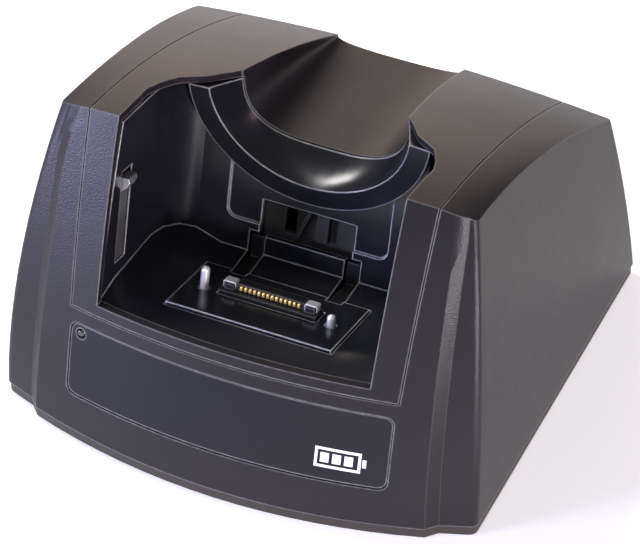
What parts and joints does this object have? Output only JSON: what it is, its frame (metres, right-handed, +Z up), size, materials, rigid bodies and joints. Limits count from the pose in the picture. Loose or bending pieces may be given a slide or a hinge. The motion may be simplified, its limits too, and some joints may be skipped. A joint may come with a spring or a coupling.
{
  "type": "handheld terminal cradle",
  "caption": "Wedge-shaped desktop charging and communication cradle with a leaning open-front pocket, a saddle behind it and a sprung connector plate in its floor.",
  "frame": {"origin": "centre of the footprint, on the desk", "axes": "+X to the right of the front, +Y to the rear, +Z up"},
  "size_m": [0.1506, 0.1433, 0.1014],
  "materials": {
    "shell": "fine satin texture",
    "bezel": "fine satin texture",
    "liner": "polished",
    "base": "matte",
    "label": "smooth film",
    "light": "clear dark lens",
    "plate": "polished",
    "housing": "moulded",
    "rubber": "soft matte",
    "board": "solder mask",
    "ribbon": "polyimide film",
    "yoke": "moulded",
    "steel": "bright zinc",
    "nickel": "nickel plate",
    "gold": "gold plate",
    "iron": "phosphate grey"
  },
  "bodies": {
    "cradle": {"outer_shell": "shell", "centre_bezel": "bezel", "label_panel": "label", "status_light": "light", "pocket_liner": "liner", "float_tray": "housing", "float_spring_1": "steel", "float_spring_2": "steel", "float_spring_3": "steel", "float_spring_4": "steel", "window_bracket": "iron", "base_plate": "base", "foot_1": "rubber", "foot_2": "rubber", "foot_3": "rubber", "foot_4": "rubber", "base_screw_1": "steel", "base_screw_2": "steel", "base_screw_3": "steel", "base_screw_4": "steel", "ballast_plate": "iron", "main_board": "board", "dc_jack": "housing", "usb_socket": "steel", "serial_socket": "steel", "connector_ribbon": "ribbon"},
    "floating_plate": {"connector_plate": "plate", "connector_housing": "housing", "shield_clip_left": "nickel", "shield_clip_right": "nickel", "guide_pin": "nickel", "plate_yoke": "yoke"},
    "detect_plunger": {"detect_plunger": "nickel"},
    "side_spring_left": {"side_spring_left": "steel"},
    "side_spring_right": {"side_spring_right": "steel"},
    "contact_01": {"contact_01": "gold"},
    "contact_02": {"contact_02": "gold"},
    "contact_03": {"contact_03": "gold"},
    "contact_04": {"contact_04": "gold"},
    "contact_05": {"contact_05": "gold"},
    "contact_06": {"contact_06": "gold"},
    "contact_07": {"contact_07": "gold"},
    "contact_08": {"contact_08": "gold"},
    "contact_09": {"contact_09": "gold"},
    "contact_10": {"contact_10": "gold"},
    "contact_11": {"contact_11": "gold"},
    "contact_12": {"contact_12": "gold"},
    "contact_13": {"contact_13": "gold"},
    "contact_14": {"contact_14": "gold"}
  },
  "joints": [
    {"name": "plate_float", "type": "slide", "parent": "cradle", "child": "floating_plate", "axis": [0, -0.2419, -0.9703], "range_m": [0, 0.0015], "stiffness_N_per_m": 1500, "springref_m": -0.002, "deforming": ["float_spring_1", "float_spring_2", "float_spring_3", "float_spring_4"]},
    {"name": "detect_plunger_press", "type": "slide", "parent": "floating_plate", "child": "detect_plunger", "axis": [0, -0.2419, -0.9703], "range_m": [0, 0.0025], "stiffness_N_per_m": 150, "springref_m": -0.002},
    {"name": "side_spring_left_flex", "type": "hinge", "parent": "cradle", "child": "side_spring_left", "pos_m": [-0.0444, -0.04041, 0.05241], "axis": [0, -0.9703, 0.2419], "range_deg": [0, 2.5], "stiffness_Nm_per_rad": 0.4, "springref_deg": -2.86},
    {"name": "side_spring_right_flex", "type": "hinge", "parent": "cradle", "child": "side_spring_right", "pos_m": [0.0444, -0.04041, 0.05241], "axis": [0, 0.9703, -0.2419], "range_deg": [0, 2.5], "stiffness_Nm_per_rad": 0.4, "springref_deg": -2.86},
    {"name": "contact_01_press", "type": "slide", "parent": "floating_plate", "child": "contact_01", "axis": [0, 0.9703, -0.2419], "range_m": [0, 0.0004], "stiffness_N_per_m": 400, "springref_m": -0.0004},
    {"name": "contact_02_press", "type": "slide", "parent": "floating_plate", "child": "contact_02", "axis": [0, 0.9703, -0.2419], "range_m": [0, 0.0004], "stiffness_N_per_m": 400, "springref_m": -0.0004},
    {"name": "contact_03_press", "type": "slide", "parent": "floating_plate", "child": "contact_03", "axis": [0, 0.9703, -0.2419], "range_m": [0, 0.0004], "stiffness_N_per_m": 400, "springref_m": -0.0004},
    {"name": "contact_04_press", "type": "slide", "parent": "floating_plate", "child": "contact_04", "axis": [0, 0.9703, -0.2419], "range_m": [0, 0.0004], "stiffness_N_per_m": 400, "springref_m": -0.0004},
    {"name": "contact_05_press", "type": "slide", "parent": "floating_plate", "child": "contact_05", "axis": [0, 0.9703, -0.2419], "range_m": [0, 0.0004], "stiffness_N_per_m": 400, "springref_m": -0.0004},
    {"name": "contact_06_press", "type": "slide", "parent": "floating_plate", "child": "contact_06", "axis": [0, 0.9703, -0.2419], "range_m": [0, 0.0004], "stiffness_N_per_m": 400, "springref_m": -0.0004},
    {"name": "contact_07_press", "type": "slide", "parent": "floating_plate", "child": "contact_07", "axis": [0, 0.9703, -0.2419], "range_m": [0, 0.0004], "stiffness_N_per_m": 400, "springref_m": -0.0004},
    {"name": "contact_08_press", "type": "slide", "parent": "floating_plate", "child": "contact_08", "axis": [0, 0.9703, -0.2419], "range_m": [0, 0.0004], "stiffness_N_per_m": 400, "springref_m": -0.0004},
    {"name": "contact_09_press", "type": "slide", "parent": "floating_plate", "child": "contact_09", "axis": [0, 0.9703, -0.2419], "range_m": [0, 0.0004], "stiffness_N_per_m": 400, "springref_m": -0.0004},
    {"name": "contact_10_press", "type": "slide", "parent": "floating_plate", "child": "contact_10", "axis": [0, 0.9703, -0.2419], "range_m": [0, 0.0004], "stiffness_N_per_m": 400, "springref_m": -0.0004},
    {"name": "contact_11_press", "type": "slide", "parent": "floating_plate", "child": "contact_11", "axis": [0, 0.9703, -0.2419], "range_m": [0, 0.0004], "stiffness_N_per_m": 400, "springref_m": -0.0004},
    {"name": "contact_12_press", "type": "slide", "parent": "floating_plate", "child": "contact_12", "axis": [0, 0.9703, -0.2419], "range_m": [0, 0.0004], "stiffness_N_per_m": 400, "springref_m": -0.0004},
    {"name": "contact_13_press", "type": "slide", "parent": "floating_plate", "child": "contact_13", "axis": [0, 0.9703, -0.2419], "range_m": [0, 0.0004], "stiffness_N_per_m": 400, "springref_m": -0.0004},
    {"name": "contact_14_press", "type": "slide", "parent": "floating_plate", "child": "contact_14", "axis": [0, 0.9703, -0.2419], "range_m": [0, 0.0004], "stiffness_N_per_m": 400, "springref_m": -0.0004}
  ],
  "couplings": [
    {"joint": "contact_02_press", "follows": "contact_01_press", "ratio": 1},
    {"joint": "contact_03_press", "follows": "contact_01_press", "ratio": 1},
    {"joint": "contact_04_press", "follows": "contact_01_press", "ratio": 1},
    {"joint": "contact_05_press", "follows": "contact_01_press", "ratio": 1},
    {"joint": "contact_06_press", "follows": "contact_01_press", "ratio": 1},
    {"joint": "contact_07_press", "follows": "contact_01_press", "ratio": 1},
    {"joint": "contact_08_press", "follows": "contact_01_press", "ratio": 1},
    {"joint": "contact_09_press", "follows": "contact_01_press", "ratio": 1},
    {"joint": "contact_10_press", "follows": "contact_01_press", "ratio": 1},
    {"joint": "contact_11_press", "follows": "contact_01_press", "ratio": 1},
    {"joint": "contact_12_press", "follows": "contact_01_press", "ratio": 1},
    {"joint": "contact_13_press", "follows": "contact_01_press", "ratio": 1},
    {"joint": "contact_14_press", "follows": "contact_01_press", "ratio": 1}
  ]
}
